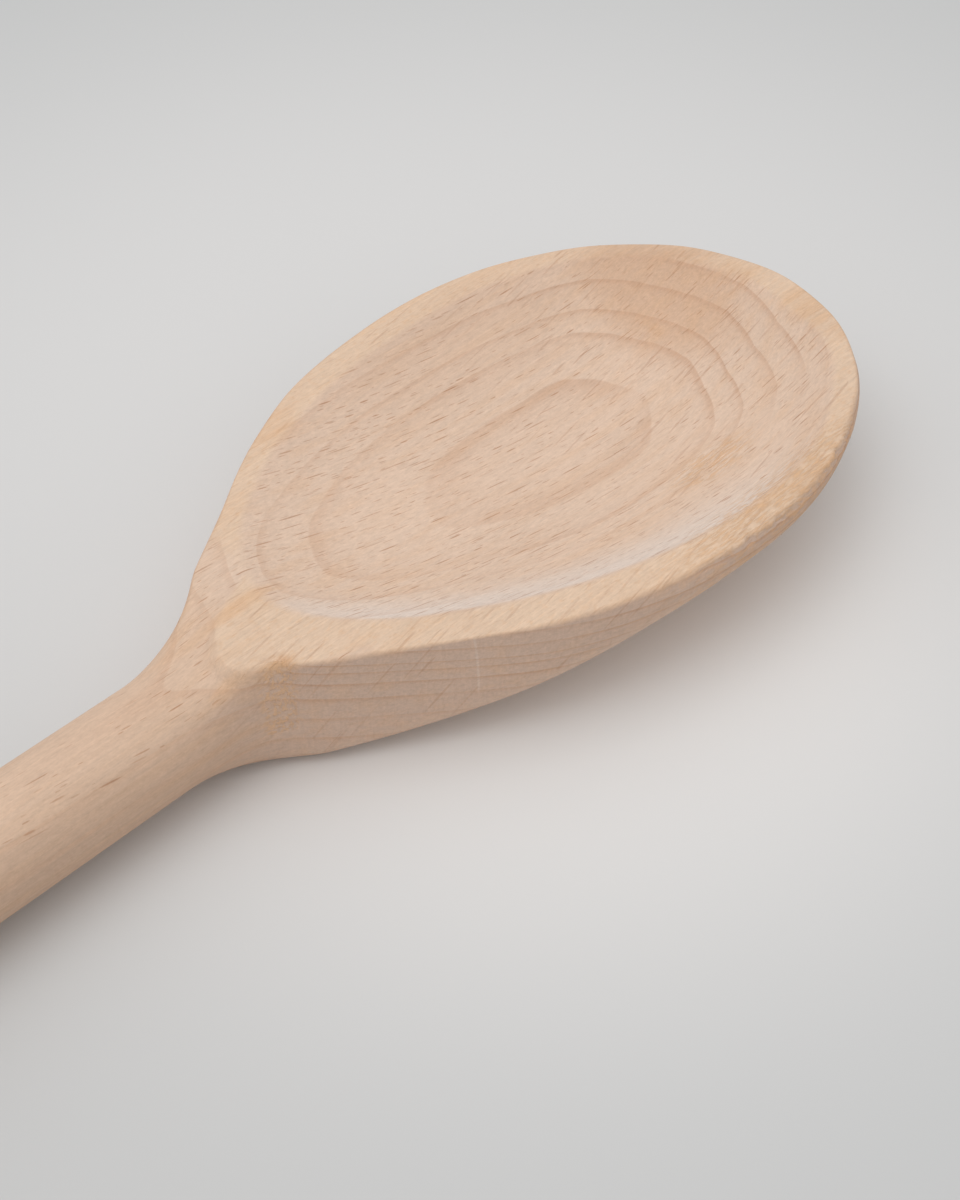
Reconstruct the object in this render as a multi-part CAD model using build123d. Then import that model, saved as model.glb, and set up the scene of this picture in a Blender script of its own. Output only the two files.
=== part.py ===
from build123d import *
from math import cos, radians, sin, sqrt, tan
import os

# A turned and milled beech spoon, one piece from the round handle end to the thin tip of the bowl.
# +X runs to the tip, +Z up, and the middle of the back lies on the table at Z 0.

# Overall sizes, in millimetres and degrees
overall_length = 300.0
head_length = 96.0
head_width = 60.0
edge_height = 15.5

# Handle
handle_diameter = 12.6
handle_end_round = 5.0

# Plan outline of the head, widest at one place, with straight flanks down to the neck
tip_reach = 38.4
tip_end_angle = 85.5
heel_reach_share = 0.78
flank_angle = 34.0
neck_flare_radius = 17.0
neck_blend_back = 3.5
neck_blend_ahead = 11.5

# Planed top, very slightly crowned across the head
crown_radius = 900.0

# Rounded back, straight along the keel and then rising to the tip, with a narrow strip of the board's face
widest_wall = 3.7
tip_wall = 1.9
keel_rise_reach = 38.0
keel_flat_width = 8.0
back_corner_round = 2.2
wall_bulge = 0.3

# Hollow, round towards the tip and long towards the neck
side_rim = 4.05
tip_rim = 3.9
heel_rim = 13.0
hollow_depth = 8.2
hollow_tip_share = 1.12
hollow_edge_round = 1.2

# Softened edges, none deeper than this share of the wall there
arris_round = 0.6
corner_limit_share = 0.4
corner_pull_share = 0.3

# Where the sections stand, as shares of the reach they divide
neck_shares = (-1.0, -0.7, -0.35, 0.0, 0.5, 1.0)
heel_shares = (0.22, 0.4, 0.6, 0.8)
tip_angle_shares = (0.0, 0.15, 0.3, 0.45, 0.6, 0.73, 0.85, 0.94, 1.0)
round_turn_shares = (1.0, 0.6, 0.5, 0.4, 0.0, -0.4, -0.5, -0.6, -1.0)
cutter_turn = 60.0
cutter_turn_shares = (-1.0, -0.66, -0.33, 0.0, 0.33, 0.66, 1.0)
quarter_turn = 90.0

# Places worked out from the sizes above
half_length = overall_length / 2
half_width = head_width / 2
handle_radius = handle_diameter / 2
axis_height = edge_height / 2
widest_x = half_length - tip_reach
flank_slope = tan(radians(flank_angle))
full_tip_reach = tip_reach / sin(radians(tip_end_angle))
heel_reach = heel_reach_share * (head_length - tip_reach)
half_flat = keel_flat_width / 2
back_rise = edge_height - widest_wall
back_centre = (half_width**2 - half_flat**2 + back_rise**2) / (2 * back_rise)
back_radius = sqrt(half_flat**2 + back_centre**2)
planed_depth = back_radius - back_centre
keel_rise = edge_height - tip_wall + planed_depth
keel_radius = (keel_rise_reach**2 + keel_rise**2) / (2 * keel_rise)


def arc_drop(radius, reach):
    # How far an arc of this radius falls away from its tangent at this reach
    return radius - sqrt(radius**2 - reach**2)


def flank_start():
    # The point where the heel's ellipse turns into the straight flank
    lean = flank_slope * heel_reach / half_width
    share = lean / sqrt(1 + lean**2)
    return widest_x - heel_reach * share, half_width * sqrt(1 - share**2)


def flare_start():
    # Where the handle's side begins to curve out into the flank
    flank_x, flank_y = flank_start()
    corner_x = flank_x - (flank_y - handle_radius) / flank_slope
    return corner_x - neck_flare_radius * tan(radians(flank_angle / 2))


def outline_half_width(x):
    # Half the width of the plan outline at this place along the spoon
    flank_x, flank_y = flank_start()
    if x >= widest_x:
        return half_width * sqrt(1 - ((x - widest_x) / full_tip_reach) ** 2)
    if x >= flank_x:
        return half_width * sqrt(1 - ((widest_x - x) / heel_reach) ** 2)
    start_x = flare_start()
    if x <= start_x:
        return handle_radius
    if x <= start_x + neck_flare_radius * sin(radians(flank_angle)):
        return handle_radius + arc_drop(neck_flare_radius, x - start_x)
    return flank_y - flank_slope * (flank_x - x)


def back_height(x, y):
    # Height of the back's surface over the table before its keel is planed: a barrel that ends in a ball
    along = max(x - (half_length - keel_rise_reach), 0)
    swing = keel_radius - arc_drop(back_radius, y)
    return keel_radius - planed_depth - sqrt(swing**2 - along**2)


def head_share(x):
    # 0 where the section is the round handle, 1 where it is the flat-topped head
    start_x = flare_start() - neck_blend_back
    share = (x - start_x) / (flare_start() + neck_blend_ahead - start_x)
    share = min(max(share, 0), 1)
    return share**2 * (3 - 2 * share)


def mixed(low, high, share):
    return low + (high - low) * share


def cut_corner(before, corner, after):
    # Middle of the soft bend that replaces a sharp corner
    return tuple(mixed((b + a) / 2, c, corner_pull_share) for b, c, a in zip(before, corner, after))


def round_points():
    # Half of the handle's circle, from its top to its bottom, as (across, up)
    turns = [radians(quarter_turn * share) for share in round_turn_shares]
    return [(handle_radius * cos(turn), axis_height + handle_radius * sin(turn)) for turn in turns]


def head_points(x):
    # Half of the flat-topped section, from the crown over the arris, the wall and the back to the keel
    wide = outline_half_width(x)
    wall_height = edge_height - back_height(x, wide)
    soft_top = min(arris_round, wall_height * corner_limit_share)
    soft_low = min(back_corner_round, wall_height * corner_limit_share)
    crown = edge_height + arc_drop(crown_radius, wide)
    top_end = (wide - soft_top, crown - arc_drop(crown_radius, wide - soft_top))
    wall_top = (wide, edge_height - soft_top)
    wall_low = (wide, back_height(x, wide) + soft_low)
    back_end = (wide - soft_low, back_height(x, wide - soft_low))
    return [
        (0, crown),
        top_end,
        cut_corner(top_end, (wide, edge_height), wall_top),
        wall_top,
        (wide + wall_bulge, (wall_top[1] + wall_low[1]) / 2),
        wall_low,
        cut_corner(wall_low, (wide, back_height(x, wide)), back_end),
        back_end,
        (0, back_height(x, 0)),
    ]


def section_at(x):
    # One cross-section, as a closed outline of eight arcs: top, arris, wall, corner, back and so on round
    share = head_share(x)
    half = [
        (mixed(round_y, head_y, share), mixed(round_z, head_z, share))
        for (round_y, round_z), (head_y, head_z) in zip(round_points(), head_points(x))
    ]
    other = [(-y, z) for y, z in half[-2:0:-1]]
    ring = [(x, y, z) for y, z in half[1:] + other + half[:2]]
    return Wire([ThreePointArc(*ring[i : i + 3]) for i in range(0, len(ring) - 1, 2)])


def section_places():
    # From the neck to the tip, closer together where the outline turns faster
    start_x = flare_start()
    places = []
    for share in neck_shares:
        places.append(start_x + share * (neck_blend_back if share < 0 else neck_blend_ahead))
    blend_end = start_x + neck_blend_ahead
    for share in heel_shares:
        places.append(mixed(blend_end, widest_x, share))
    for share in tip_angle_shares:
        places.append(widest_x + full_tip_reach * sin(radians(tip_end_angle * share)))
    return places


def make_head():
    return Solid.make_loft([section_at(x) for x in section_places()])


def make_handle():
    # A round bar with a rounded free end, up to the first section of the neck
    start_x = section_places()[0]
    bar = Plane.YZ.offset(-half_length) * Pos(0, axis_height, 0) * Circle(handle_radius)
    handle = extrude(bar, amount=start_x + half_length)
    free_edge = handle.edges().sort_by(Axis.X)[0]
    return fillet(free_edge, handle_end_round)


def make_hollow():
    # The cutter swings round a line high over the rim, so each section of the hollow is an arc.
    # Its reach from that line follows a long half ellipse towards the neck and a short one towards the tip,
    # which reaches a little further than the hollow is wide to each side.
    half_hollow = half_width - side_rim
    swing_height = (half_hollow**2 - hollow_depth**2) / (2 * hollow_depth)
    swing = swing_height + hollow_depth
    to_tip = hollow_tip_share * half_hollow
    deepest_x = half_length - tip_rim - to_tip
    to_heel = deepest_x - (half_length - head_length + heel_rim)
    path = []
    for share in cutter_turn_shares:
        turn = radians(cutter_turn * share)
        reach = to_tip if share > 0 else to_heel
        path.append((deepest_x + reach * swing / half_hollow * sin(turn), swing * cos(turn)))
    curve = Spline(*path)
    ends = Polyline(path[-1], (path[-1][0], 0), (path[0][0], 0), path[0])
    level = Plane.XY.offset(edge_height + swing_height)
    profile = level * make_face(curve + ends)
    line = Axis((0, 0, edge_height + swing_height), (1, 0, 0))
    return revolve(profile, line, -2 * quarter_turn)


def make_blank():
    # Head and handle in one, planed off level with the table under the keel
    table = Location((0, 0, -edge_height / 2))
    return make_head() + make_handle() - table * Box(overall_length, head_width, edge_height)


def make_spoon():
    # The hollow is cut from the blank, then its sharp rim is sanded round
    blank = make_blank()
    hollow = make_hollow()
    spoon = blank - hollow
    return fillet(new_edges(blank, hollow, combined=spoon), hollow_edge_round)


os.makedirs("parts", exist_ok=True)
spoon = make_spoon()
export_step(spoon, "parts/spoon.step")
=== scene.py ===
import math
import bpy
import numpy as np
from mathutils import Matrix, Vector


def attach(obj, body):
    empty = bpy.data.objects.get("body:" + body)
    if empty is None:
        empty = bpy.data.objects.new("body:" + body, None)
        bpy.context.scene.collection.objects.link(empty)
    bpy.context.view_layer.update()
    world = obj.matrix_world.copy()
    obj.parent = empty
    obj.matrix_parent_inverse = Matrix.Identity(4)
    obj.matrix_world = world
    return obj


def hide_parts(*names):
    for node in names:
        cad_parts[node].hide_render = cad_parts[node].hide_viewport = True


# A beech spoon lying on a pale table. Sizes in the dictionaries are millimetres and degrees.
# +X runs along the spoon to its tip, and x = 0 is the middle of its length.

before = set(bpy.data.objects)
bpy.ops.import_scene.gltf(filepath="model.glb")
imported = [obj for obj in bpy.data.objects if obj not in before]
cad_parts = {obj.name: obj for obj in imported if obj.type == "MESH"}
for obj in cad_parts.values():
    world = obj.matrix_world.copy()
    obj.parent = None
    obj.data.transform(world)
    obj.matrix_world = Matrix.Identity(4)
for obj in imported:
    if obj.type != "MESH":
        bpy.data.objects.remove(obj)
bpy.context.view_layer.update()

scene = bpy.context.scene
scene.view_settings.view_transform = "Standard"
mm = 0.001

# The spoon's body, with the sizes of its solid

spoonShape = {
    "length": 300.0,
    "headLength": 96.0,
    "headWidth": 60.0,
    "edgeHeight": 15.5,
    "highest": 15.65,           # nothing stands higher
    "handleRadius": 6.3,
    "handleEndRound": 5.0,
    # outline from above: elliptical tip and heel, straight flanks, flared neck
    "tipReach": 38.4,
    "tipEndAngle": 85.5,
    "heelShare": 0.78,
    "flankAngle": 34.0,
    "flareRadius": 17.0,
    "blendBack": 3.5,
    "blendAhead": 11.5,
    # top, side wall and back
    "crownRadius": 900.0,
    "arrisRound": 0.6,
    "cornerLimit": 0.4,         # share of the wall that a softened edge may take
    "widestWall": 3.7,
    "tipWall": 1.9,
    "wallBulge": 0.22,
    "bulgeEnd": (140.0, 148.0),
    "backCorner": 2.2,
    "keelRise": 38.0,
    "keelFlat": 8.0,
    "hollow": {
        "sideRim": 4.05,
        "tipRim": 3.9,
        "heelRim": 13.0,
        "depth": 8.2,
        "tipShare": 1.12,
        "turn": -2.1,           # the cutter stood a little askew in plan
        "turnAt": 104.0,
        "shift": 0.05,
        "edgeSoft": 0.26,       # height over which the rim's inner edge is sanded round
        # where the rim strays from the cutter's line: direction in degrees, and how far outward
        "strays": ((2, 0.4), (15, 0.2), (31, 0.45), (46, -0.65), (64, -0.35), (90, -0.2),
                   (108, 0.1), (150, -0.25), (167, 0.3), (178, 0.95), (186, 0.45), (196, -0.3),
                   (211, -0.8), (225, -0.45), (240, 0.0), (270, 0.55), (290, 0.45), (303, -0.1),
                   (325, -0.7), (338, 0.1), (351, -0.8)),
        "strayFrom": 26.0,      # how far out from the middle the strays have grown to full size
    },
    # the planed top ends at the neck in a rounded tongue
    "tongue": {
        "tip": (56.2, -3.0),
        "width": 6.6,
        "edge": 1.7,            # how wide its soft edge is
        "rise": 0.85,           # how far it stands out of the round neck
    },
    # hand work and wear: a spot is a centre and half sizes, waves are two sizes and a seed
    "wear": {
        "softening": 0.35,      # how much the sanded edge's roundness wanders
        "softWaves": (14.0, 14.0, 11),
        "edgeWander": 0.04,
        "edgeWaves": (13.0, 13.0, 12),
        "ragged": 0.42,         # how far torn fibres eat into the edge
        "raggedWaves": (3.0, 3.0, 13),
        "tornRim": (119.0, -28.0, 22.0, 5.0),
        "tornHollow": (120.5, -14.5, 6.5, 3.2),
        "tornDepth": 0.1,
        "tornWaves": (2.6, 0.7, 5),
        "chip": (59.8, -7.6, 2.4, 1.5),
        "chipDepth": 0.55,
        "chipEdge": 0.5,
        "chipWaves": (1.2, 0.8, 6),
        "above": 6.0,           # stains and torn fibres show only higher than this
        # orange places: spot and strength
        "stains": ((85.0, 23.0, 4.5, 2.4, 0.55), (64.5, 1.8, 5.0, 1.5, 0.4),
                   (57.5, 3.0, 7.0, 2.0, 0.14), (54.0, -4.5, 3.0, 1.2, 0.3),
                   (121.0, -27.5, 10.0, 3.0, 0.42), (104.0, -29.5, 7.0, 2.0, 0.3),
                   (135.0, 8.0, 0.8, 2.2, 0.4), (59.8, -7.6, 2.6, 1.3, 0.9),
                   (146.0, 5.0, 3.0, 6.0, 0.25), (147.0, -10.0, 3.5, 9.0, 0.4)),
        # the darker, redder wood at the far side of the bowl's tip, and painted shade on the bowl's
        # far wall
        "darkWoodAndShadePlaces": ((139.0, 10.0, 8.0, 12.0, 0.75), (118.0, 22.0, 26.0, 7.0, 0.14)),
    },
    # where the masks for the finish come up along the spoon, and where the pale band fades again
    "masks": {
        "all": (48.0, 60.0),
        "wholeTop": (66.0, 70.0),
        "paleStart": (60.0, 74.0),
        "paleEnd": (108.0, 132.0),
        "paleRise": (0.0, 1.4),     # inward from the rim
        "paleFall": (1.5, 10.0),
    },
    # how finely the mesh is divided
    "grid": {
        "endRibs": 9,
        "handleStep": 2.0,
        "neckStep": 0.3,
        "heelStep": 0.36,
        "tipRibs": 112,
        "joinRibs": 13,             # over these the two sides come to share their columns
        "hollowColumns": 34,
        "creaseColumns": 14,
        "creaseIn": (1.6, 0.8),     # past the rim, and at most this share of the rib
        "creaseOut": (1.0, 0.12),   # before the rim, and at least this share of the rib
        "rimColumns": 10,
        "rimStart": 0.3,            # the rim is looked for from here inward, in so many places
        "rimTries": 400,
        "rimLift": 0.2,             # and is where the hollow's surface is no higher over the edge
        "rimLimit": 0.62,           # share of the rib, where no hollow lies nearer
        "rimAverage": 7,
        "arrisRows": 6,
        "wallRows": 12,
        "cornerRows": 5,
        "backColumns": 26,
        "endRings": (0.66, 0.33),
    },
    # turn from the round bar's top at which each strip of the head ends
    "barTurns": {"top": 36.0, "arris": 54.0, "wall": 126.0, "corner": 144.0, "back": 180.0},
}

s = spoonShape
hollowShape, tongueShape, wear, grid = (s[k] for k in ("hollow", "tongue", "wear", "grid"))
halfLength, halfWidth = s["length"] / 2, s["headWidth"] / 2
axisHeight = s["edgeHeight"] / 2
widestX = halfLength - s["tipReach"]
slope = math.tan(math.radians(s["flankAngle"]))
fullTip = s["tipReach"] / math.sin(math.radians(s["tipEndAngle"]))
heelReach = s["heelShare"] * (s["headLength"] - s["tipReach"])
lean = slope * heelReach / halfWidth
flankX = widestX - heelReach * lean / math.sqrt(1 + lean**2)
flankY = halfWidth / math.sqrt(1 + lean**2)
cornerX = flankX - (flankY - s["handleRadius"]) / slope
flareX = cornerX - s["flareRadius"] * math.tan(math.radians(s["flankAngle"] / 2))
flareEnd = flareX + s["flareRadius"] * math.sin(math.radians(s["flankAngle"]))
neckStart, neckEnd = flareX - s["blendBack"], flareX + s["blendAhead"]
backRise = s["edgeHeight"] - s["widestWall"]
backCentre = (halfWidth**2 - (s["keelFlat"] / 2) ** 2 + backRise**2) / (2 * backRise)
backRadius = math.hypot(s["keelFlat"] / 2, backCentre)
planed = backRadius - backCentre
tipRise = s["edgeHeight"] - s["tipWall"] + planed
keelRadius = (s["keelRise"] ** 2 + tipRise**2) / (2 * tipRise)


def mixed(first, second, share):
    return first + (second - first) * share


def smoothStep(t):
    t = np.clip(t, 0, 1)
    return t * t * (3 - 2 * t)


def rise(value, low, high):
    # 0 up to low, 1 from high on, smooth between them
    return smoothStep((value - low) / (high - low))


def waves(x, y, sizeX, sizeY, seed):
    # a smooth random field from nine crossing sine waves, about -1 to 1
    rng = np.random.default_rng(seed)
    total = 0
    for _ in range(9):
        turn = rng.uniform(0, 2 * math.pi)
        pace = rng.uniform(0.55, 1.6)
        start = rng.uniform(0, 6.28)
        way = np.cos(turn) * x / sizeX + np.sin(turn) * y / sizeY
        total = total + np.sin(2 * math.pi * pace * way + start)
    return total / 4


def nearSpot(x, y, spot):
    # 1 up to half of an oval spot's reach, fading out just past its edge
    centreX, centreY, reachX, reachY = spot
    far = np.hypot((x - centreX) / reachX, (y - centreY) / reachY)
    return smoothStep((1.3 - far) / 0.8)


def onTongue(x, y):
    # 1 on the planed tongue, 0 past its rounded end
    tipX, tipY = tongueShape["tip"]
    past = x - tipX - (y - tipY) ** 2 / tongueShape["width"]
    return smoothStep(past / tongueShape["edge"] + 0.5)


def arcDrop(radius, reach):
    # how far an arc of this radius falls away from its tangent at this reach
    return radius - np.sqrt(np.maximum(radius**2 - reach**2, 0))


def halfOutline(x):
    tip = halfWidth * np.sqrt(np.clip(1 - ((x - widestX) / fullTip) ** 2, 0, 1))
    heel = halfWidth * np.sqrt(np.clip(1 - ((widestX - x) / heelReach) ** 2, 0, 1))
    flank = flankY - slope * (flankX - x)
    flare = s["handleRadius"] + arcDrop(s["flareRadius"], np.clip(x - flareX, 0, flareEnd - flareX))
    wide = np.where(x >= flankX, heel, np.where(x >= flareEnd, flank, flare))
    wide = np.where(x >= widestX, tip, wide)
    return np.where(x <= flareX, s["handleRadius"], wide)


def backHeight(x, y):
    along = np.maximum(x - (halfLength - s["keelRise"]), 0)
    swing = keelRadius - arcDrop(backRadius, y)
    return keelRadius - planed - np.sqrt(np.maximum(swing**2 - along**2, 0))


def hollowHeight(x, y):
    # the cutter's surface: arcs across the head, long towards the neck and short towards the tip
    h = hollowShape
    half = halfWidth - h["sideRim"]
    centre = (half**2 - h["depth"] ** 2) / (2 * h["depth"])
    swing = centre + h["depth"]
    toTip = half * h["tipShare"]
    deepest = halfLength - h["tipRim"] - toTip
    toHeel = deepest - (halfLength - s["headLength"] + h["heelRim"])
    turn = math.radians(h["turn"])
    dx, dy = x - h["turnAt"], y - h["shift"]
    toward = np.arctan2(dy, dx)
    directions, reaches = zip(*h["strays"])
    stray = np.interp(np.degrees(toward) % 360, directions, reaches, period=360)
    stray = stray * smoothStep(np.hypot(dx, dy) / h["strayFrom"])
    dx, dy = dx - stray * np.cos(toward), dy - stray * np.sin(toward)
    u = h["turnAt"] + dx * math.cos(turn) + dy * math.sin(turn)
    v = -dx * math.sin(turn) + dy * math.cos(turn)
    reach = np.where(u > deepest, toTip, toHeel) * swing / half
    ring = swing * np.sqrt(np.clip(1 - ((u - deepest) / reach) ** 2, 0, 1))
    return s["edgeHeight"] + centre - np.sqrt(np.clip(ring**2 - v**2, 0, None))


def topHeight(x, y, wide):
    # the planed top or the hollow, whichever is lower, and how far the point is inside the hollow
    crown = s["edgeHeight"] + arcDrop(s["crownRadius"], wide) - arcDrop(s["crownRadius"], y)
    hollow = hollowHeight(x, y)
    soft = hollowShape["edgeSoft"]
    inside = np.clip(0.5 + 0.5 * (crown - hollow) / soft, 0, 1)
    height = crown + (hollow - crown) * inside - soft * inside * (1 - inside)
    torn = nearSpot(x, y, wear["tornHollow"]) + nearSpot(x, y, wear["tornRim"])
    height = height - wear["tornDepth"] * torn * (0.5 + 0.5 * waves(x, y, *wear["tornWaves"]))
    chipped = wear["chipDepth"] * nearSpot(x, y, wear["chip"])
    height = height - chipped * (0.7 + 0.3 * waves(x, y, *wear["chipWaves"]))
    return height, inside


def ribPlaces():
    # outline point and spine point of every rib, from the handle's end to the tip
    endTurns = np.linspace(0, 90, grid["endRibs"])
    xs = [-halfLength + s["handleEndRound"] * (1 - math.cos(math.radians(a))) for a in endTurns]
    handleRibs = int((flareX - xs[-1]) / grid["handleStep"])
    xs += list(np.linspace(xs[-1], neckStart, handleRibs)[1:])
    xs += list(np.linspace(neckStart, neckEnd, int((neckEnd - neckStart) / grid["neckStep"]))[1:])
    xs += list(np.linspace(neckEnd, widestX, int((widestX - neckEnd) / grid["heelStep"]))[1:])
    xs = np.array(xs)
    outline = np.stack([xs, halfOutline(xs)], -1)
    angle = np.linspace(0, math.pi / 2, grid["tipRibs"] + 1)[1:]
    tipReach = halfLength - widestX
    tipOutline = np.stack([widestX + tipReach * np.sin(angle), halfWidth * np.cos(angle)], -1)
    fan = tipReach - halfWidth**2 / tipReach
    spine = np.concatenate([xs, widestX + fan * np.sin(angle)])
    return np.concatenate([outline, tipOutline]), spine


def rimWidths(outline, spine, length, side):
    # how far in from the outline each rib meets the hollow
    rim = np.full(len(length), np.nan)
    for i in range(len(length)):
        inset = np.linspace(grid["rimStart"], length[i], grid["rimTries"])
        px = outline[i, 0] + (spine[i] - outline[i, 0]) * inset / length[i]
        py = side * outline[i, 1] * (1 - inset / length[i])
        under = hollowHeight(px, py) < s["edgeHeight"] + grid["rimLift"]
        if under.any() and px[0] > flareX:
            rim[i] = inset[np.argmax(under)]
    limit = length * grid["rimLimit"]
    rim = np.where(np.isnan(rim), limit, np.minimum(rim, limit))
    count = grid["rimAverage"]
    return np.convolve(np.pad(rim, count // 2, mode="edge"), np.ones(count) / count, mode="valid")


def steps(count):
    # equal shares up to 1, without the 0
    return np.linspace(0, 1, count + 1)[1:]


def buildSide(outline, spine, length, rim, side):
    # one side of the spoon as rows of points, each with its masks: top, wall, pale band, arris
    xs, wide = outline[:, 0], outline[:, 1]
    inward = np.stack([spine - xs, -wide], -1) / length[:, None]
    share = smoothStep((xs - neckStart) / (s["blendAhead"] + s["blendBack"]))
    masksAt, turns = s["masks"], s["barTurns"]
    backEdge = backHeight(xs, wide)
    limit = (s["edgeHeight"] - backEdge) * s["cornerLimit"]
    edge = xs, side * wide
    chipped = wear["chipEdge"] * nearSpot(*edge, wear["chip"])
    softness = 1 + wear["softening"] * waves(*edge, *wear["softWaves"])
    softTop = np.minimum(s["arrisRound"] * softness + chipped, limit)
    softLow = np.minimum(s["backCorner"], limit)
    ragged = wear["ragged"] * nearSpot(*edge, wear["tornRim"])
    cut = wear["edgeWander"] * (0.5 + 0.5 * waves(*edge, *wear["edgeWaves"]))
    cut = cut + ragged * np.abs(waves(*edge, *wear["raggedWaves"])) ** 1.5 + chipped
    cut = np.minimum(np.maximum(cut, 0), limit) * share
    bulge = s["wallBulge"] * (1 - rise(xs, *s["bulgeEnd"]))
    endDepth = np.clip(-halfLength + s["handleEndRound"] - xs, 0, None)
    barRadius = s["handleRadius"] - s["handleEndRound"]
    barRadius = barRadius + np.sqrt(s["handleEndRound"] ** 2 - endDepth**2)
    rows = []

    def at(inset):
        return xs + inward[:, 0] * inset, wide + inward[:, 1] * inset

    def add(x, y, z, turn, top=0.0, wall=0.0, pale=0.0, arris=0.0):
        # the head's point, mixed along the neck with the round bar's point at this turn
        turn = np.radians(turn)
        x = x * share + xs * (1 - share)
        y = y * share + barRadius * np.sin(turn) * (1 - share)
        tongue = onTongue(x, side * y)
        flat = share + (1 - share) * tongueShape["rise"] * tongue * (np.asarray(top) > 0.5)
        z = z * flat + (axisHeight + barRadius * np.cos(turn)) * (1 - flat)
        z = np.clip(z, 0, s["highest"])
        top = top * np.maximum(tongue, rise(xs, *masksAt["wholeTop"]))
        reach = rise(xs, *masksAt["all"])
        masks = [np.broadcast_to(m, xs.shape) * reach for m in (top, wall, pale, arris)]
        rows.append(np.stack([x, y * side, z, *masks], -1))

    # the hollow, the crease at its rim and the planed top
    deep = np.minimum(rim + grid["creaseIn"][0], length * grid["creaseIn"][1])
    shallow = np.maximum(rim - grid["creaseOut"][0], length * grid["creaseOut"][1])
    hollowShares = np.linspace(0, 1, grid["hollowColumns"], endpoint=False)
    creaseShares = np.linspace(0, 1, grid["creaseColumns"], endpoint=False)
    insets = [mixed(length, deep, t) for t in hollowShares]
    insets += [mixed(deep, shallow, t) for t in creaseShares]
    insets += [mixed(shallow, softTop + cut, t) for t in np.linspace(0, 1, grid["rimColumns"])]
    for inset in insets:
        x, y = at(inset)
        z, inside = topHeight(x, side * y, wide)
        turn = turns["top"] * np.clip((length - inset) / (length - softTop - cut), 0, 1)
        past = inset - rim
        # the band just inside the near rim is partly painted sheen and partly the paleness of
        # scraped fibres
        band = rise(past, *masksAt["paleRise"]) * (1 - rise(past, *masksAt["paleFall"])) * inside
        band = band * rise(xs, *masksAt["paleStart"]) * (1 - rise(xs, *masksAt["paleEnd"]))
        add(x, y, z, turn, top=1 - inside, pale=band * (side < 0))

    # the softened arris and the side wall
    lift = topHeight(*at(softTop), wide)[0] - s["edgeHeight"]
    for t in steps(grid["arrisRows"]):
        bend = math.radians(90 * t)
        x, y = at(softTop * (1 - math.sin(bend)) + cut)
        z = s["edgeHeight"] + lift * (1 - t) - softTop * (1 - math.cos(bend))
        ridge = math.sin(math.pi * t) ** 0.5
        turn = mixed(turns["top"], turns["arris"], t)
        add(x, y, z, turn, top=1 - t * t, wall=t * t, arris=ridge)
    for t in steps(grid["wallRows"]):
        x, y = at(cut * (1 - t) ** 2 - bulge * 4 * t * (1 - t))
        z = s["edgeHeight"] - softTop + (backEdge + softLow - s["edgeHeight"] + softTop) * t
        add(x, y, z, mixed(turns["arris"], turns["wall"], t), wall=1.0)

    # the lower corner and the back
    backEnd = backHeight(*at(softLow))
    for t in steps(grid["cornerRows"]):
        x, y = at(softLow * t * t)
        z = (1 - t) ** 2 * (backEdge + softLow) + 2 * t * (1 - t) * backEdge + t * t * backEnd
        add(x, y, z, mixed(turns["wall"], turns["corner"], t), wall=1 - t)
    for t in steps(grid["backColumns"]):
        x, y = at(softLow + (length - softLow) * t)
        add(x, y, np.maximum(backHeight(x, y), 0), mixed(turns["corner"], turns["back"], t))
    half = np.array(rows).transpose(1, 0, 2)
    half[:, 0, 1] = half[:, -1, 1] = 0
    return half


def closeEnd(points, faces, loop):
    # the flat end of the handle closes with rings that shrink to its middle
    around = len(loop)
    centre = np.zeros(points.shape[1])
    centre[:3] = -halfLength, 0, axisHeight
    edgePoints = points[loop]
    for part in grid["endRings"]:
        fresh = np.arange(len(points), len(points) + around)
        points = np.concatenate([points, centre + (edgePoints - centre) * part])
        for j in range(around):
            k = (j + 1) % around
            faces.append([int(fresh[j]), int(fresh[k]), int(loop[k]), int(loop[j])])
        loop = fresh
    points = np.concatenate([points, centre[None]])
    for j in range(around):
        faces.append([len(points) - 1, int(loop[(j + 1) % around]), int(loop[j])])
    return points


def finishMasks(points):
    # the masks by which the material changes over the surface
    x, y, z, top, wall, pale, arris = points.T
    high = z > wear["above"]
    onTop = np.maximum(top, high * (wall < 0.5))
    torn = sum(nearSpot(x, y, wear[k]) for k in ("tornHollow", "tornRim", "chip"))
    masks = {"planedTop": top, "sideWall": wall, "sheenAndScrapeBand": pale, "arris": arris,
             "torn": np.clip(torn, 0, 1) * high}
    for name, spots in (("stain", wear["stains"]), ("darkWoodAndShade", wear["darkWoodAndShadePlaces"])):
        total = sum(strength * nearSpot(x, y, spot) for *spot, strength in spots)
        masks[name] = np.clip(total, 0, 1) * onTop
    return masks


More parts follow.
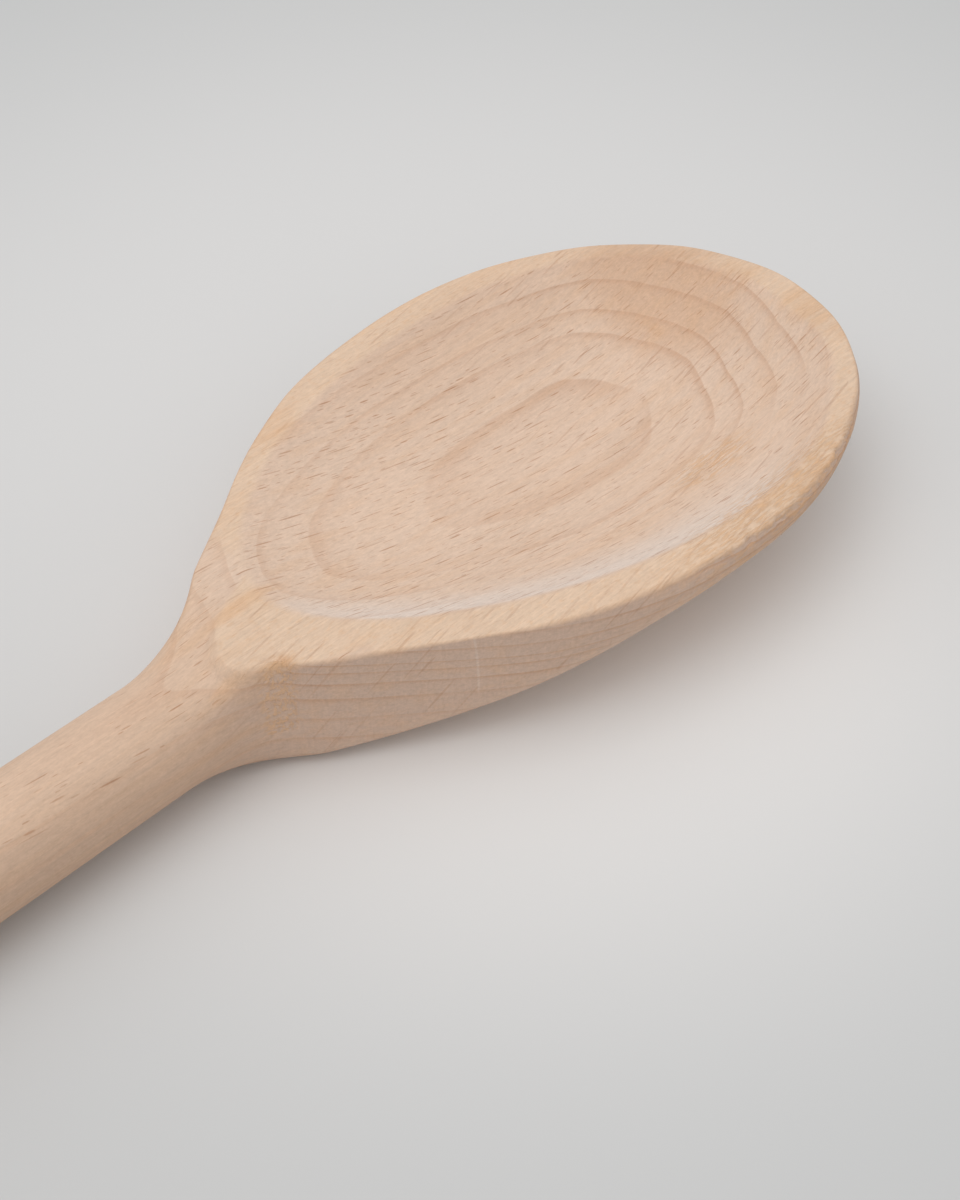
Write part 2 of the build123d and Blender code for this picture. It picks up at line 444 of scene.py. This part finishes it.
def spoonMesh():
    outline, spine = ribPlaces()
    length = np.hypot(outline[:, 0] - spine, outline[:, 1])
    left = rimWidths(outline, spine, length, 1)
    right = rimWidths(outline, spine, length, -1)
    # the two sides share their columns at the tip
    ribs = len(length)
    join = smoothStep((np.arange(ribs) - ribs + grid["joinRibs"] + 1) / grid["joinRibs"])
    mean = (left + right) / 2
    leftHalf = buildSide(outline, spine, length, mixed(left, mean, join), 1)
    rightHalf = buildSide(outline, spine, length, mixed(right, mean, join), -1)
    ring = np.concatenate([leftHalf, rightHalf[:, -2:0:-1]], axis=1)
    around = ring.shape[1]
    points = ring.reshape(-1, ring.shape[2])
    index = np.arange(ribs * around).reshape(ribs, around)
    # the last rib lies on the axis, so its two sides are one
    for j in range(1, leftHalf.shape[1] - 1):
        index[-1, around - j] = index[-1, j]
    a, b = index[:-1], index[1:]
    quads = np.stack([a, np.roll(a, -1, 1), np.roll(b, -1, 1), b], -1).reshape(-1, 4)
    faces = [list(dict.fromkeys(quad)) for quad in quads.tolist()]
    faces = [face for face in faces if len(face) > 2]
    points = closeEnd(points, faces, index[0])
    # points that no face uses go
    used = np.unique(np.concatenate([np.array(face) for face in faces]))
    remap = np.full(len(points), -1)
    remap[used] = np.arange(len(used))
    faces = [[int(remap[i]) for i in face] for face in faces]
    points = points[used]
    mesh = bpy.data.meshes.new("spoonBody")
    mesh.from_pydata((points[:, :3] * mm).tolist(), [], faces)
    mesh.update()
    for name, values in finishMasks(points).items():
        layer = mesh.attributes.new(name, "FLOAT", "POINT")
        layer.data.foreach_set("value", np.ascontiguousarray(values, dtype=np.float32))
    mesh.polygons.foreach_set("use_smooth", [True] * len(mesh.polygons))
    return mesh


spoon = bpy.data.objects.new("spoonBody", spoonMesh())
scene.collection.objects.link(spoon)
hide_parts("spoon")
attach(spoon, "root")
print("spoon built", len(spoon.data.vertices), "points")

# Beech. Tones are linear. A pair in levels, along, across and up is where an effect begins
# and where it is full.

woodLook = {
    "hollowTone": (0.742, 0.552, 0.424),
    "topTone": (0.756, 0.556, 0.404),
    # the side wall's tone is the wood darkened with painted shade
    "sideTone": (0.615, 0.443, 0.343),
    "handleTone": (0.700, 0.500, 0.366),
    # painted shade for the near, lower side of the handle and neck
    "lowTone": (0.540, 0.365, 0.260),
    # the pale band inside the near rim, partly painted sheen and partly scraped fibres; the pale
    # scratch uses this tone too
    "paleTone": (0.790, 0.690, 0.620),
    "darkTone": (0.640, 0.415, 0.275),
    "stainTone": (0.700, 0.420, 0.230),
    "lateTone": (0.540, 0.310, 0.190),
    "markTone": (0.400, 0.180, 0.085),
    "roughness": 0.62,
    "fibreRoughness": 0.18,
    "tornRoughness": 0.12,
    "specular": 0.35,
    "bumpStrength": 0.7,
    "bumpDistance": 0.06,
    # how much of each tone shows where its mask is full
    "strengths": {"low": 0.75, "streak": 0.22, "gold": 0.3, "pale": 0.76, "scratch": 0.24,
                  "arris": 0.2, "slants": 0.3, "long": 0.7, "small": 0.5, "pores": 0.09,
                  "torn": 0.6, "ringLine": 0.2},
    # how much each texture lightens and darkens the wood, and how high it stands
    "shades": {"fibre": 0.24, "cloud": 0.10, "speck": 0.16, "grain": 0.22, "sanding": 0.12},
    "heights": {"fibre": 0.35, "speck": 0.25, "scales": 1.3, "sanding": 0.5},
    # textures: size along, across and up, and detail
    "textures": {
        "fibre": ((7.0, 0.22, 0.22), 2.0),
        "streak": ((30.0, 1.5, 1.5), 2.0),
        "cloud": ((26.0, 12.0, 12.0), 1.0),
        "speck": ((0.35, 0.16, 0.16), 1.0),
        "grain": ((1.1, 0.42, 0.42), 2.0),
        "gold": ((0.9, 0.5, 0.5), 2.0),
        "scales": ((1.7, 0.26, 0.5), 3.0),
        "sanding": ((0.22, 0.22, 5.0), 2.0),
        "rows": ((34.0, 1.6, 5.0), 1.0),
    },
    "levels": {"streak": (0.4, 0.75), "stain": (0.28, 0.62), "gold": (0.52, 0.72),
               "scales": (0.42, 0.62), "rows": (0.32, 0.62)},
    # how a mask changes an amount: by this much where it is full, and what there is without it
    "changes": {"dashesAtTip": (-0.25, 0.9), "dashRows": (0.55, 0.5), "dashesOnBar": (-0.55, 1.0),
                "dashesOnTop": (-0.7, 1.0), "deepRings": (0.12, 0.08), "ringsOnTop": (-0.6, 1.0),
                "ringsAtTip": (0.6, 0.7), "clearRings": (0.85, 0.15), "ringsOnWall": (1.5, 1.0),
                "wallAtTip": (-0.8, 1.0)},
    # places along the spoon, across it and up it
    "along": {"tip": (92.0, 126.0), "barEnd": (44.0, 60.0), "head": (58.0, 66.0),
              "wallEnd": (132.0, 147.0), "lowEnd": (50.0, 62.0), "clear": (84.0, 102.0)},
    "across": {"low": (-2.8, -7.4), "clear": (-19.0, -9.0)},
    "up": {"deep": (7.9, 9.4)},
    # growth rings: the heights at which they end, as counted over the middle of the bowl
    "rings": {
        "ends": (-11.4, -8.5, -5.6, -2.8, 0.15, 3.14, 6.01, 8.14, 9.67, 10.69, 12.3, 13.96,
                 15.5, 17.3, 19.4),
        "middle": 110.0,
        "size": (40.0, 25.0),       # along and across, over which the layers tilt and bend
        "tilt": (1.20, -1.57),
        "bend": (-2.51, -0.65),
        "bendLimit": 1.3,
        "slow": ((38.0, 11.0, 11.0), 1.0),
        "slowSway": 0.3,
        "fine": ((9.0, 2.2, 2.2), 2.0),
        "fineSway": 0.11,
        "fade": ((16.0, 8.0, 8.0), 1.0),
        "fadeLevel": (0.25, 0.65),
        "strength": (0.5, 0.6),     # what chance adds to a ring's line, and the least
        "lineStart": (0.76, 0.93),  # shares of a ring
        "lineEnd": (0.965, 1.0),
        "latePower": 3.0,
    },
    # marks: the cell that holds one, its thickness, and how many of the cells have one
    "marks": {
        "long": {"Length": 5.0, "Spread": 1.1, "Depth": 7.0, "Thickness": 0.15},
        "small": {"Length": 2.6, "Spread": 0.7, "Depth": 3.0, "Thickness": 0.12},
        "pores": {"Length": 1.1, "Spread": 0.3, "Depth": 1.2, "Thickness": 0.11, "Amount": 0.7},
        "slants": {"Length": 10.0, "Spread": 1.5, "Depth": 9.0, "Thickness": 0.24, "Amount": 0.75},
    },
    # a mark's own shape: what chance adds and the least, as shares of its cell and thickness
    "markLength": (0.30, 0.13),
    "markThickness": (0.4, 0.3),
    "markWeight": (0.6, 0.4),
    "markEdge": (0.2, 1.3),         # where it fades from its middle outward
    "markChoice": (0.0, 0.12),      # how sharply cells with a mark part from those without
    "markReuse": 17.0,              # draws another chance value out of the first
    # the planes in the wood that they lie in: directions along, across and deep
    "dashPlane": ((0.996, -0.09, 0.0), (0.09, 0.984, 0.154), (0.0, -0.155, 0.988)),
    "slantPlane": ((1.0, 0.0, 0.0), (-0.18, 0.85, 0.5), (0.0, -0.5, 0.85)),
    "dashFade": (0.66, 0.9),        # where the plane lies so nearly in the surface that they go
    "slantFade": (0.84, 0.97),
    # one pale scratch down the near wall
    "scratch": {"at": 76.95, "lean": 0.01, "width": (0.05, 0.16), "up": (6.5, 9.0),
                "across": (-12.0, -8.0)},
}


def feed(tree, socket, value):
    if isinstance(value, bpy.types.NodeSocket):
        tree.links.new(value, socket)
    else:
        socket.default_value = value


def calc(tree, operation, *values):
    made = tree.nodes.new("ShaderNodeMath")
    made.operation = operation
    for socket, value in zip(made.inputs, values):
        feed(tree, socket, value)
    return made.outputs[0]


def times(tree, first, *others):
    # the product of masks and numbers
    for other in others:
        first = calc(tree, "MULTIPLY", first, other)
    return first


def scaled(tree, value, factor, base):
    # value times factor, plus base
    return calc(tree, "MULTIPLY_ADD", value, factor, base)


def swayed(tree, value, amount, base):
    # base, raised and lowered as a noise goes above and below its middle
    return scaled(tree, calc(tree, "SUBTRACT", value, 0.5), amount, base)


def without(tree, value):
    return calc(tree, "SUBTRACT", 1.0, value)


def vector(tree, operation, *values):
    made = tree.nodes.new("ShaderNodeVectorMath")
    made.operation = operation
    for socket, value in zip(made.inputs, values):
        feed(tree, socket, value)
    return made.outputs["Value" if operation in ("DOT_PRODUCT", "LENGTH") else "Vector"]


def split(tree, value):
    made = tree.nodes.new("ShaderNodeSeparateXYZ")
    feed(tree, made.inputs[0], value)
    return made.outputs


def combine(tree, *values):
    made = tree.nodes.new("ShaderNodeCombineXYZ")
    for socket, value in zip(made.inputs, values):
        feed(tree, socket, value)
    return made.outputs[0]


def ramp(tree, value, low, high):
    # 0 before low, 1 past high, smooth between them
    made = tree.nodes.new("ShaderNodeMapRange")
    made.interpolation_type = "SMOOTHSTEP"
    feed(tree, made.inputs["Value"], value)
    feed(tree, made.inputs["From Min"], low)
    feed(tree, made.inputs["From Max"], high)
    return made.outputs["Result"]


def fall(tree, value, low, high):
    # 1 before low, 0 past high
    return without(tree, ramp(tree, value, low, high))


def noise(tree, place, stretch, detail):
    made = tree.nodes.new("ShaderNodeTexNoise")
    feed(tree, made.inputs["Vector"], vector(tree, "DIVIDE", place, stretch))
    made.inputs["Scale"].default_value = 1.0
    made.inputs["Detail"].default_value = detail
    return made.outputs[0]


def blend(tree, share, first, second, kind="MIX"):
    made = tree.nodes.new("ShaderNodeMix")
    made.data_type, made.blend_type = "RGBA", kind
    feed(tree, made.inputs[0], share)
    for socket, value in zip(made.inputs[6:8], (first, second)):
        feed(tree, socket, (*value, 1) if isinstance(value, tuple) else value)
    return made.outputs[2]


def mask(tree, name):
    made = tree.nodes.new("ShaderNodeAttribute")
    made.attribute_name = name
    return made.outputs["Fac"]


def startGroup(name, inputs, outputs):
    tree = bpy.data.node_groups.new(name, "ShaderNodeTree")
    for label, kind, value in inputs:
        socket = tree.interface.new_socket(label, in_out="INPUT", socket_type=kind)
        if value is not None:
            socket.default_value = value
    for label in outputs:
        tree.interface.new_socket(label, in_out="OUTPUT", socket_type="NodeSocketFloat")
    given = tree.nodes.new("NodeGroupInput").outputs
    return tree, given, tree.nodes.new("NodeGroupOutput").inputs


def placeGroup(tree, group, **values):
    made = tree.nodes.new("ShaderNodeGroup")
    made.node_tree = group
    for label, value in values.items():
        feed(tree, made.inputs[label], value)
    return made.outputs


def countCurve(tree, value, ends):
    # the height of a growth layer turned into its number, by the heights at which the rings end
    curve = tree.nodes.new("ShaderNodeFloatCurve")
    points = curve.mapping.curves[0].points
    low, high = ends[0], ends[-1]
    for i, end in enumerate(ends[1:-1]):
        points.new((end - low) / (high - low), (i + 1) / (len(ends) - 1))
    for point in points:
        point.handle_type = "VECTOR"
    curve.mapping.update()
    share = calc(tree, "DIVIDE", calc(tree, "SUBTRACT", value, low), high - low)
    feed(tree, curve.inputs["Value"], share)
    return times(tree, curve.outputs[0], float(len(ends) - 1))


def growthLayers():
    # rings cut by the surface: Line is the thin dark end of each, Late the slow darkening before it
    rings = woodLook["rings"]
    place = ("Place", "NodeSocketVector", None)
    tree, given, result = startGroup("growthLayers", [place], ["Line", "Late"])
    x, y, z = split(tree, given["Place"])
    along = calc(tree, "DIVIDE", calc(tree, "SUBTRACT", x, rings["middle"]), rings["size"][0])
    across = calc(tree, "DIVIDE", y, rings["size"][1])
    bend = calc(tree, "MINIMUM", along, rings["bendLimit"])
    bend = calc(tree, "MAXIMUM", bend, -rings["bendLimit"])
    height = scaled(tree, along, rings["tilt"][0], z)
    height = scaled(tree, across, rings["tilt"][1], height)
    height = scaled(tree, times(tree, bend, bend), rings["bend"][0], height)
    height = scaled(tree, times(tree, across, across), rings["bend"][1], height)
    height = swayed(tree, noise(tree, given["Place"], *rings["slow"]), rings["slowSway"], height)
    height = swayed(tree, noise(tree, given["Place"], *rings["fine"]), rings["fineSway"], height)
    count = countCurve(tree, height, rings["ends"])
    part = calc(tree, "FRACT", count)
    chance = tree.nodes.new("ShaderNodeTexWhiteNoise")
    chance.noise_dimensions = "1D"
    feed(tree, chance.inputs["W"], calc(tree, "FLOOR", count))
    fade = noise(tree, given["Place"], *rings["fade"])
    strength = scaled(tree, chance.outputs["Value"], *rings["strength"])
    strength = times(tree, ramp(tree, fade, *rings["fadeLevel"]), strength)
    end = fall(tree, part, *rings["lineEnd"])
    line = times(tree, ramp(tree, part, *rings["lineStart"]), end, strength)
    late = times(tree, calc(tree, "POWER", part, rings["latePower"]), end)
    tree.links.new(line, result["Line"])
    tree.links.new(late, result["Late"])
    return tree


def rayMarks():
    # short marks, one to a cell: Place has x along the mark, y across it and z into the wood
    look = woodLook
    usual = look["marks"]["slants"].items()
    inputs = [("Place", "NodeSocketVector", None)]
    inputs += [(label, "NodeSocketFloat", value) for label, value in usual]
    tree, given, result = startGroup("rayMarks", inputs, ["Mark"])
    sizes = combine(tree, given["Length"], given["Spread"], given["Depth"])
    place = vector(tree, "DIVIDE", given["Place"], sizes)
    cells = tree.nodes.new("ShaderNodeTexVoronoi")
    cells.inputs["Scale"].default_value = 1.0
    feed(tree, cells.inputs["Vector"], place)
    x, y, _ = split(tree, vector(tree, "SUBTRACT", place, cells.outputs["Position"]))
    pick, long, thick = split(tree, cells.outputs["Color"])
    halfLong = scaled(tree, times(tree, long, long), *look["markLength"])
    halfThick = times(tree, given["Thickness"], scaled(tree, thick, *look["markThickness"]))
    across = calc(tree, "DIVIDE", y, calc(tree, "DIVIDE", halfThick, given["Spread"]))
    along = calc(tree, "DIVIDE", x, halfLong)
    far = calc(tree, "ADD", times(tree, along, along), times(tree, across, across))
    chosen = ramp(tree, calc(tree, "SUBTRACT", given["Amount"], pick), *look["markChoice"])
    another = calc(tree, "FRACT", times(tree, pick, look["markReuse"]))
    weight = scaled(tree, another, *look["markWeight"])
    shape = fall(tree, far, *look["markEdge"])
    tree.links.new(times(tree, shape, chosen, weight), result["Mark"])
    return tree


def turned(tree, place, plane):
    # the place as measured along, across and deep in a plane of marks
    return combine(tree, *(vector(tree, "DOT_PRODUCT", place, axis) for axis in plane))


def facing(tree, normal, plane, fade):
    # 1 where a mark's plane cuts the surface, fading where it lies almost in it
    level = calc(tree, "ABSOLUTE", vector(tree, "DOT_PRODUCT", normal, plane[1]))
    return fall(tree, level, *fade)


def woodMarks(tree, place, normal, on, towardTip, texture):
    # how strongly dashes, pores and slanting marks show at each place
    look = woodLook
    marks, strengths, changes = (look[k] for k in ("marks", "strengths", "changes"))
    top, wall = on["planedTop"], on["sideWall"]
    onBar = fall(tree, split(tree, place)[0], *look["along"]["barEnd"])
    rows = ramp(tree, texture["rows"], *look["levels"]["rows"])
    amount = scaled(tree, towardTip, *changes["dashesAtTip"])
    amount = times(tree, amount, scaled(tree, rows, *changes["dashRows"]))
    amount = times(tree, amount, scaled(tree, onBar, *changes["dashesOnBar"]))
    dashPlace = turned(tree, place, look["dashPlane"])
    slantPlace = turned(tree, place, look["slantPlane"])
    group = rayMarks()
    long = placeGroup(tree, group, Place=dashPlace, Amount=amount, **marks["long"])["Mark"]
    small = placeGroup(tree, group, Place=dashPlace, Amount=amount, **marks["small"])["Mark"]
    pores = placeGroup(tree, group, Place=dashPlace, **marks["pores"])["Mark"]
    slants = placeGroup(tree, group, Place=slantPlace, **marks["slants"])["Mark"]

    # few dashes on the planed top and none on the wall, where the slanting marks are
    openFace = times(tree, scaled(tree, top, *changes["dashesOnTop"]), without(tree, wall))
    openFace = times(tree, openFace, facing(tree, normal, look["dashPlane"], look["dashFade"]))
    long, small = times(tree, long, strengths["long"]), times(tree, small, strengths["small"])
    dashes = times(tree, calc(tree, "MAXIMUM", long, small), openFace)
    slantFace = calc(tree, "MAXIMUM", calc(tree, "MAXIMUM", top, wall), towardTip)
    fade = facing(tree, normal, look["slantPlane"], look["slantFade"])
    slants = times(tree, slants, times(tree, slantFace, fade))
    return dashes, times(tree, pores, strengths["pores"]), times(tree, slants, strengths["slants"])


def ringShare(tree, place, on, towardTip):
    # how dark the growth rings show: less on the planed top, more on the wall and towards the tip
    look, changes = woodLook, woodLook["changes"]
    x, y, z = split(tree, place)
    layers = placeGroup(tree, growthLayers(), Place=place)
    lateShare = scaled(tree, ramp(tree, z, *look["up"]["deep"]), *changes["deepRings"])
    line = times(tree, layers["Line"], look["strengths"]["ringLine"])
    rings = scaled(tree, layers["Late"], lateShare, line)
    rings = times(tree, rings, scaled(tree, on["planedTop"], *changes["ringsOnTop"]))
    rings = times(tree, rings, scaled(tree, towardTip, *changes["ringsAtTip"]))
    # on the near side of the bowl's tip half the rings hardly show
    clear = fall(tree, x, *look["along"]["clear"])
    clear = calc(tree, "MAXIMUM", ramp(tree, y, *look["across"]["clear"]), clear)
    clear = scaled(tree, clear, *changes["clearRings"])
    rings = times(tree, rings, calc(tree, "MAXIMUM", clear, on["sideWall"]))
    return times(tree, rings, scaled(tree, on["sideWall"], *changes["ringsOnWall"]))


def scratchShare(tree, place, wall):
    # 1 on the pale scratch, which runs down the near wall
    scratch = woodLook["scratch"]
    x, y, z = split(tree, place)
    off = calc(tree, "SUBTRACT", scaled(tree, z, scratch["lean"], x), scratch["at"])
    line = fall(tree, calc(tree, "ABSOLUTE", off), *scratch["width"])
    reach = times(tree, wall, ramp(tree, z, *scratch["up"]))
    return times(tree, line, reach, fall(tree, y, *scratch["across"]))


def beechMaterial():
    look = woodLook
    strengths, levels, along = look["strengths"], look["levels"], look["along"]
    beech = bpy.data.materials.new("beech")
    beech.use_nodes = True
    tree = beech.node_tree
    shader = tree.nodes["Principled BSDF"]
    coordinates = tree.nodes.new("ShaderNodeTexCoord").outputs
    place = vector(tree, "SCALE", coordinates["Object"])
    place.node.inputs["Scale"].default_value = 1 / mm
    x, y, _ = split(tree, place)
    on = {name: mask(tree, name) for name in
          ("planedTop", "sideWall", "sheenAndScrapeBand", "arris", "torn", "stain", "darkWoodAndShade")}
    texture = {name: noise(tree, place, *sizes) for name, sizes in look["textures"].items()}
    towardTip = ramp(tree, x, *along["tip"])
    dashes, pores, slants = woodMarks(tree, place, coordinates["Normal"], on, towardTip, texture)

    # tones laid over one another, each with its share
    # painted shade on the side wall, mostly fading out towards the tip
    wallShadeShare = scaled(tree, ramp(tree, x, *along["wallEnd"]), *look["changes"]["wallAtTip"])
    # painted shade on the near, lower side of the handle and neck, fading out where the head begins
    low = times(tree, ramp(tree, y, *look["across"]["low"]), fall(tree, x, *along["lowEnd"]))
    streak = ramp(tree, texture["streak"], *levels["streak"])
    stained = times(tree, ramp(tree, texture["streak"], *levels["stain"]), on["stain"])
    gold = times(tree, ramp(tree, texture["gold"], *levels["gold"]), on["planedTop"])
    scratch = scratchShare(tree, place, on["sideWall"])
    scales = times(tree, ramp(tree, texture["scales"], *levels["scales"]), on["torn"])
    tone = blend(tree, ramp(tree, x, *along["head"]), look["handleTone"], look["hollowTone"])
    for share, name in (
        (on["planedTop"], "topTone"),
        # darker, redder wood, partly painted shade on the bowl's far wall
        (on["darkWoodAndShade"], "darkTone"),
        (times(tree, on["sideWall"], wallShadeShare), "sideTone"),
        (times(tree, low, strengths["low"]), "lowTone"),
        (times(tree, streak, strengths["streak"]), "stainTone"),
        (stained, "stainTone"),
        (times(tree, gold, strengths["gold"]), "stainTone"),
        # painted sheen, together with scraped fibres, in the band inside the near rim
        (times(tree, on["sheenAndScrapeBand"], strengths["pale"]), "paleTone"),
        (times(tree, scratch, strengths["scratch"]), "paleTone"),
        (times(tree, on["arris"], strengths["arris"]), "stainTone"),
        (ringShare(tree, place, on, towardTip), "lateTone"),
        (slants, "markTone"),
        (dashes, "markTone"),
        (pores, "markTone"),
        (times(tree, scales, strengths["torn"]), "stainTone"),
    ):
        tone = blend(tree, share, tone, look[name])

    # the textures lighten and darken it a little
    shades = look["shades"]
    shade = 1.0
    for name in ("fibre", "cloud", "speck", "grain"):
        shade = swayed(tree, texture[name], shades[name], shade)
    sanded = times(tree, calc(tree, "SUBTRACT", texture["sanding"], 0.5), on["sideWall"])
    shade = scaled(tree, sanded, shades["sanding"], shade)
    tone = blend(tree, 1.0, tone, combine(tree, shade, shade, shade), "MULTIPLY")
    tree.links.new(tone, shader.inputs["Base Color"])

    rough = swayed(tree, texture["fibre"], look["fibreRoughness"], look["roughness"])
    rough = scaled(tree, on["torn"], look["tornRoughness"], rough)
    tree.links.new(rough, shader.inputs["Roughness"])
    shader.inputs["Specular IOR Level"].default_value = look["specular"]
    heights = look["heights"]
    height = times(tree, texture["speck"], heights["speck"])
    height = scaled(tree, texture["fibre"], heights["fibre"], height)
    height = scaled(tree, scales, heights["scales"], height)
    grooves = times(tree, texture["sanding"], on["sideWall"])
    height = scaled(tree, grooves, heights["sanding"], height)
    bump = tree.nodes.new("ShaderNodeBump")
    bump.inputs["Strength"].default_value = look["bumpStrength"]
    bump.inputs["Distance"].default_value = look["bumpDistance"] * mm
    tree.links.new(height, bump.inputs["Height"])
    tree.links.new(bump.outputs["Normal"], shader.inputs["Normal"])
    return beech


spoon.data.materials.append(beechMaterial())
print("beech material ready")

# The pale sheet that the spoon lies on, with painted light brightest near the head, where it lifts
# the spoon's shadow, and painted shade darkening it towards its edges

tableLook = {
    # painted light near the head and painted shade towards the sheet's edges
    "paintedLightTone": (0.862, 0.843, 0.829),
    "middleTone": (0.705, 0.698, 0.692),
    "edgeShadeTone": (0.566, 0.570, 0.568),
    "near": (88.0, -26.0),
    "nearReach": (12.0, 72.0),
    "middle": (121.0, 32.0),
    "middleReach": (30.0, 165.0),
    "roughness": 0.75,
    "specular": 0.2,
    "halfSize": 2000.0,
    "gap": 0.02,                # keeps the sheet clear of the keel's flat strip
}

floorMesh = bpy.data.meshes.new("tableTop")
half = tableLook["halfSize"] * mm
corners = [(x, y, 0) for x, y in ((-half, -half), (half, -half), (half, half), (-half, half))]
floorMesh.from_pydata(corners, [], [(0, 1, 2, 3)])
floor = bpy.data.objects.new("tableTop", floorMesh)
scene.collection.objects.link(floor)
floor.location.z = -tableLook["gap"] * mm
paint = bpy.data.materials.new("tablePaint")
paint.use_nodes = True
tree = paint.node_tree
shader = tree.nodes["Principled BSDF"]
onSheet = tree.nodes.new("ShaderNodeTexCoord").outputs["Object"]


def fadeFrom(centre, reach):
    # 0 at this place on the sheet, 1 past its reach
    away = vector(tree, "SUBTRACT", onSheet, tuple(v * mm for v in (*centre, 0)))
    return ramp(tree, vector(tree, "LENGTH", away), *(v * mm for v in reach))


# painted light over the spoon's shadow near the head, then painted shade growing towards the edges
paintedLightFade = fadeFrom(tableLook["near"], tableLook["nearReach"])
edgeShadeFade = fadeFrom(tableLook["middle"], tableLook["middleReach"])
sheet = blend(tree, paintedLightFade, tableLook["paintedLightTone"], tableLook["middleTone"])
sheet = blend(tree, edgeShadeFade, sheet, tableLook["edgeShadeTone"])
tree.links.new(sheet, shader.inputs["Base Color"])
shader.inputs["Roughness"].default_value = tableLook["roughness"]
shader.inputs["Specular IOR Level"].default_value = tableLook["specular"]
floorMesh.materials.append(paint)
print("table ready")

# Soft light from all round, and one large lamp. Its places are metres.

lightLook = {
    "sky": 0.44,                # at the horizon
    "overhead": 0.60,           # added towards the zenith
    "backdrop": 0.56,           # what the camera sees over the table's edge
    "keyWatts": 2.5,
    "keySize": 1.0,
    "keyPlace": (-0.24, 0.13, 1.16),
    "keyAim": (0.09, 0.0, 0.0),
}

world = bpy.data.worlds.new("softRoom")
scene.world = world
world.use_nodes = True
room = world.node_tree
background = room.nodes["Background"]
background.inputs["Color"].default_value = (1, 1, 1, 1)
upward = split(room, room.nodes.new("ShaderNodeTexCoord").outputs["Generated"])[2]
glow = scaled(room, calc(room, "MAXIMUM", upward, 0.0), lightLook["overhead"], lightLook["sky"])
seen = room.nodes.new("ShaderNodeLightPath").outputs["Is Camera Ray"]
backdrop = scaled(room, seen, calc(room, "SUBTRACT", lightLook["backdrop"], glow), glow)
room.links.new(backdrop, background.inputs["Strength"])

keyData = bpy.data.lights.new("windowLight", "AREA")
keyData.energy = lightLook["keyWatts"]
keyData.shape = "SQUARE"
keyData.size = lightLook["keySize"]
key = bpy.data.objects.new("windowLight", keyData)
scene.collection.objects.link(key)
keyWay = Vector(lightLook["keyAim"]) - Vector(lightLook["keyPlace"])
key.location = lightLook["keyPlace"]
key.rotation_mode = "QUATERNION"
key.rotation_quaternion = keyWay.to_track_quat("-Z", "Y")
print("light ready")

cameraLook = {
    "azimuth": -43.46,
    "elevation": 43.40,
    "roll": -2.25,
    "target": (86.6, -9.8, 8.0),
    "distance": 209.4,
    "lens": 57.0,
    "sensor": 36.0,
    "clip": (10.0, 20000.0),
}

azimuth, elevation, roll = (math.radians(cameraLook[k]) for k in ("azimuth", "elevation", "roll"))
level = math.cos(elevation)
back = Vector((math.sin(azimuth) * level, -math.cos(azimuth) * level, math.sin(elevation)))
right = Vector((math.cos(azimuth), math.sin(azimuth), 0))
up = back.cross(right)
right, up = (right * math.cos(roll) + up * math.sin(roll),
             up * math.cos(roll) - right * math.sin(roll))
cameraData = bpy.data.cameras.new("camera")
cameraData.lens = cameraLook["lens"]
cameraData.sensor_width = cameraLook["sensor"]
cameraData.clip_start, cameraData.clip_end = (v * mm for v in cameraLook["clip"])
camera = bpy.data.objects.new("camera", cameraData)
scene.collection.objects.link(camera)
scene.camera = camera
view = Matrix((right, up, back)).transposed().to_4x4()
view.translation = (Vector(cameraLook["target"]) + back * cameraLook["distance"]) * mm
camera.matrix_world = view
print("camera ready")
